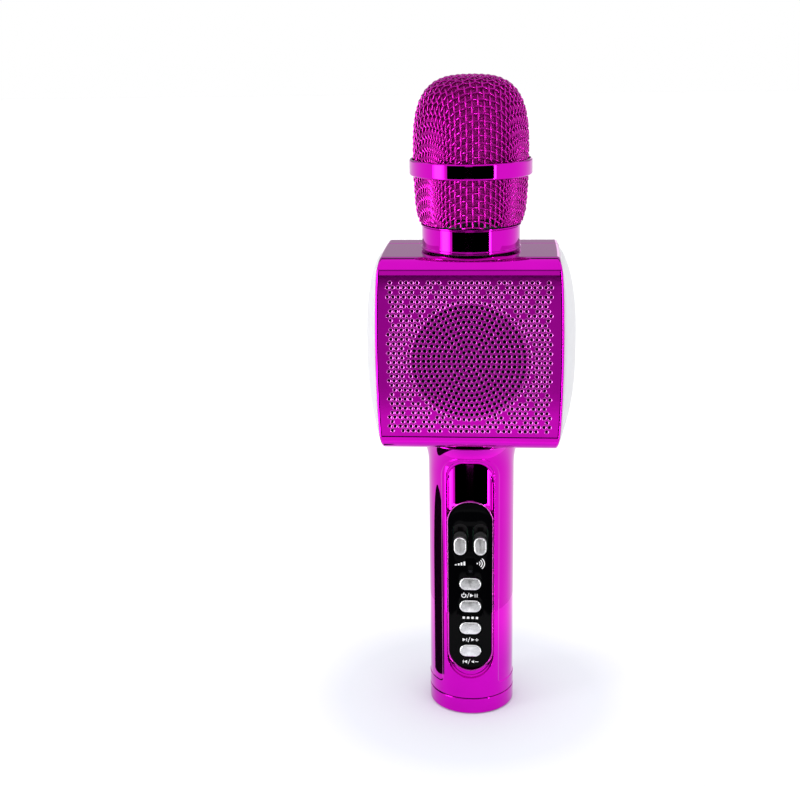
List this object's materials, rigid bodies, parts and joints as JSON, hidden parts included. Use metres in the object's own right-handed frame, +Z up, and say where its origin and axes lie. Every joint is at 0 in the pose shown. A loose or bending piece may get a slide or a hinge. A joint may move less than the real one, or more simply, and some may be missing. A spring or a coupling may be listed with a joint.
{
  "type": "karaoke microphone",
  "caption": "Handheld karaoke microphone: wire-mesh head on a box-shaped loudspeaker with light covers at its ends, on a round handle with buttons and sliders.",
  "frame": {"origin": "centre of the base's underside, on the surface the microphone stands on", "axes": "+Z up along the handle to the mesh head, -Y towards the front, which has the loudspeaker and the control panel, +X to the right seen from the front"},
  "size_m": [0.0812, 0.0466, 0.2558],
  "materials": {
    "plated_magenta": "mirror plating over moulded plastic",
    "mesh_metal": "plated crimped wire",
    "milky_cover": "translucent milky white",
    "panel_black": "high gloss",
    "spun_aluminium": "spun and polished",
    "inner_plastic": "matt",
    "rubber": "matt",
    "foam": "open-cell foam",
    "steel": "zinc plated",
    "ferrite": "ferrite and plated yoke",
    "cone_paper": "pulp cone",
    "circuit_board": "solder resist",
    "cell_wrap": "shrink wrap",
    "indicator_lens": "clear"
  },
  "bodies": {
    "chassis": {"neck_spigot": "inner_plastic", "capsule_cradle": "rubber", "mic_capsule": "steel", "front_shell": "plated_magenta", "rear_shell": "plated_magenta", "shell_screw_1": "steel", "shell_screw_2": "steel", "shell_screw_3": "steel", "shell_screw_4": "steel", "right_light_cover": "milky_cover", "left_light_cover": "milky_cover", "right_led_board": "circuit_board", "left_led_board": "circuit_board", "speaker_basket": "steel", "speaker_magnet": "ferrite", "cone_surround": "rubber", "radiator_frame": "inner_plastic", "amplifier_board": "circuit_board", "bluetooth_module": "steel", "handle_shell": "plated_magenta", "handle_screw_left": "steel", "handle_screw_right": "steel", "base_cap": "plated_magenta", "control_panel": "panel_black", "indicator_lens": "indicator_lens", "power_switch": "inner_plastic", "mode_switch": "inner_plastic", "next_switch": "inner_plastic", "previous_switch": "inner_plastic", "volume_fader": "steel", "echo_fader": "steel", "control_board": "circuit_board", "battery_cell": "cell_wrap", "battery_holder": "inner_plastic", "port_board": "circuit_board", "charge_socket": "steel", "audio_socket": "inner_plastic"},
    "grille_head": {"mesh_dome": "mesh_metal", "mesh_basket": "mesh_metal", "band_ring": "plated_magenta", "foam_liner": "foam", "grille_ring": "steel", "neck_collar": "plated_magenta"},
    "speaker_cone": {"speaker_cone": "cone_paper"},
    "radiator_diaphragm": {"radiator_diaphragm": "rubber"},
    "power_button": {"power_button": "spun_aluminium"},
    "mode_button": {"mode_button": "spun_aluminium"},
    "next_button": {"next_button": "spun_aluminium"},
    "previous_button": {"previous_button": "spun_aluminium"},
    "volume_knob": {"volume_knob": "spun_aluminium"},
    "echo_knob": {"echo_knob": "spun_aluminium"}
  },
  "joints": [
    {"name": "head_lift", "type": "slide", "parent": "chassis", "child": "grille_head", "axis": [0, 0, 1], "range_m": [0, 0.07]},
    {"name": "cone_stroke", "type": "slide", "parent": "chassis", "child": "speaker_cone", "axis": [0, -1, 0], "range_m": [-0.0008, 0.0008], "stiffness_N_per_m": 900},
    {"name": "radiator_stroke", "type": "slide", "parent": "chassis", "child": "radiator_diaphragm", "axis": [0, 1, 0], "range_m": [-0.001, 0.001], "stiffness_N_per_m": 900},
    {"name": "power_press", "type": "slide", "parent": "chassis", "child": "power_button", "axis": [0, 1, 0], "range_m": [0, 0.0004], "stiffness_N_per_m": 1500, "springref_m": -0.0004},
    {"name": "mode_press", "type": "slide", "parent": "chassis", "child": "mode_button", "axis": [0, 1, 0], "range_m": [0, 0.0004], "stiffness_N_per_m": 1500, "springref_m": -0.0004},
    {"name": "next_press", "type": "slide", "parent": "chassis", "child": "next_button", "axis": [0, 1, 0], "range_m": [0, 0.0004], "stiffness_N_per_m": 1500, "springref_m": -0.0004},
    {"name": "previous_press", "type": "slide", "parent": "chassis", "child": "previous_button", "axis": [0, 1, 0], "range_m": [0, 0.0004], "stiffness_N_per_m": 1500, "springref_m": -0.0004},
    {"name": "volume_slide", "type": "slide", "parent": "chassis", "child": "volume_knob", "axis": [0, 0, 1], "range_m": [0, 0.005]},
    {"name": "echo_slide", "type": "slide", "parent": "chassis", "child": "echo_knob", "axis": [0, 0, 1], "range_m": [0, 0.005]}
  ]
}
